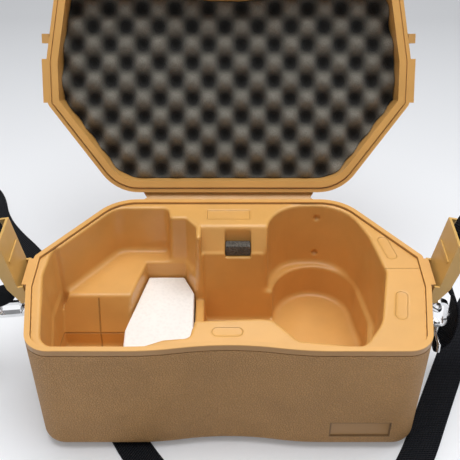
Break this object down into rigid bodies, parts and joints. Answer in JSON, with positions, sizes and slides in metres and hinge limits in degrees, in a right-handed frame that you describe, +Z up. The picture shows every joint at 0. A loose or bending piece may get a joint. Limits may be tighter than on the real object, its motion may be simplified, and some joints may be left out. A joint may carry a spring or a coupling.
{
  "type": "camera case",
  "caption": "Hard moulded camera case with an open foam-lined lid, fitted tray, side latches and a clip-on carrying strap.",
  "frame": {"origin": "middle of the case's underside, on the surface that its feet stand on", "axes": "+X to the right seen from the front, +Y to the back (hinge side), +Z up"},
  "size_m": [0.6084, 0.4379, 0.2648],
  "materials": {
    "shell_plastic": "fine leather grain, moulded in colour",
    "inner_plastic": "smooth satin, moulded in colour",
    "latch_plastic": "smooth satin",
    "white_foam": "closed-cell foam, matte",
    "grey_foam": "foam, matte",
    "dark_foam": "open-cell egg-crate foam, matte",
    "pin_steel": "plain",
    "chrome_metal": "polished",
    "webbing": "woven nylon"
  },
  "bodies": {
    "case": {"base_shell": "shell_plastic", "base_tray": "inner_plastic", "foam_block": "white_foam", "foam_pad": "grey_foam", "latch_pin_right": "pin_steel", "latch_pin_left": "pin_steel", "ring_bracket_right": "chrome_metal", "ring_bracket_left": "chrome_metal", "bracket_rivets_right": "chrome_metal", "bracket_rivets_left": "chrome_metal", "strap_floor": "webbing", "strap_loop_right": "webbing", "strap_loop_left": "webbing", "strap_end_right": "webbing", "strap_end_left": "webbing"},
    "strip": {"hinge_strip": "inner_plastic"},
    "lid": {"lid_shell": "shell_plastic", "lid_frame": "inner_plastic", "lid_foam": "dark_foam"},
    "latch_right": {"latch_arm_right": "latch_plastic"},
    "ring_right": {"d_ring_right": "chrome_metal"},
    "hook_right": {"hook_body_right": "chrome_metal"},
    "gate_right": {"hook_gate_right": "chrome_metal"},
    "eye_right": {"hook_eye_right": "chrome_metal"},
    "latch_left": {"latch_arm_left": "latch_plastic"},
    "ring_left": {"d_ring_left": "chrome_metal"},
    "hook_left": {"hook_body_left": "chrome_metal"},
    "gate_left": {"hook_gate_left": "chrome_metal"},
    "eye_left": {"hook_eye_left": "chrome_metal"}
  },
  "joints": [
    {"name": "base_fold", "type": "hinge", "parent": "case", "child": "strip", "pos_m": [0, 0.0869, 0.104], "axis": [-1, 0, 0], "range_deg": [-58.75, 0]},
    {"name": "lid_fold", "type": "hinge", "parent": "strip", "child": "lid", "pos_m": [0, 0.09545, 0.10919], "axis": [-1, 0, 0], "range_deg": [-58.75, 0]},
    {"name": "latch_right", "type": "hinge", "parent": "case", "child": "latch_right", "pos_m": [0.1512, 0, 0.0945], "axis": [0, 1, 0], "range_deg": [-10, 40], "deforming": ["strap_loop_right"]},
    {"name": "ring_right", "type": "hinge", "parent": "case", "child": "ring_right", "pos_m": [0.153, -0.005, 0.084], "axis": [0, -1, 0], "range_deg": [-4, 20], "deforming": ["strap_end_right"]},
    {"name": "hook_right", "type": "hinge", "parent": "ring_right", "child": "hook_right", "pos_m": [0.16415, -0.005, 0.07396], "axis": [0, -1, 0], "range_deg": [-3, 40], "deforming": ["strap_end_right"]},
    {"name": "gate_right", "type": "hinge", "parent": "hook_right", "child": "gate_right", "pos_m": [0.17068, -0.005, 0.05828], "axis": [0, -1, 0], "range_deg": [0, 22], "stiffness_Nm_per_rad": 0.02, "springref_deg": -11.46},
    {"name": "swivel_right", "type": "hinge", "parent": "hook_right", "child": "eye_right", "pos_m": [0.16415, -0.005, 0.07396], "axis": [0.0523, 0, -0.9986], "range_deg": [-25, 25], "deforming": ["strap_end_right"]},
    {"name": "latch_left", "type": "hinge", "parent": "case", "child": "latch_left", "pos_m": [-0.1512, 0, 0.0945], "axis": [0, -1, 0], "range_deg": [-10, 40], "deforming": ["strap_loop_left"]},
    {"name": "ring_left", "type": "hinge", "parent": "case", "child": "ring_left", "pos_m": [-0.153, -0.005, 0.084], "axis": [0, 1, 0], "range_deg": [-2, 20], "deforming": ["strap_end_left"]},
    {"name": "hook_left", "type": "hinge", "parent": "ring_left", "child": "hook_left", "pos_m": [-0.16095, -0.005, 0.07128], "axis": [0, 1, 0], "range_deg": [-45, 10], "deforming": ["strap_end_left"]},
    {"name": "gate_left", "type": "hinge", "parent": "hook_left", "child": "gate_left", "pos_m": [-0.17746, -0.005, 0.07528], "axis": [0, 1, 0], "range_deg": [0, 22], "stiffness_Nm_per_rad": 0.02, "springref_deg": -11.46},
    {"name": "swivel_left", "type": "hinge", "parent": "hook_left", "child": "eye_left", "pos_m": [-0.16095, -0.005, 0.07128], "axis": [-0.9945, 0, -0.1045], "range_deg": [-25, 25], "deforming": ["strap_end_left"]}
  ],
  "couplings": [
    {"joint": "lid_fold", "follows": "base_fold", "ratio": 1}
  ]
}
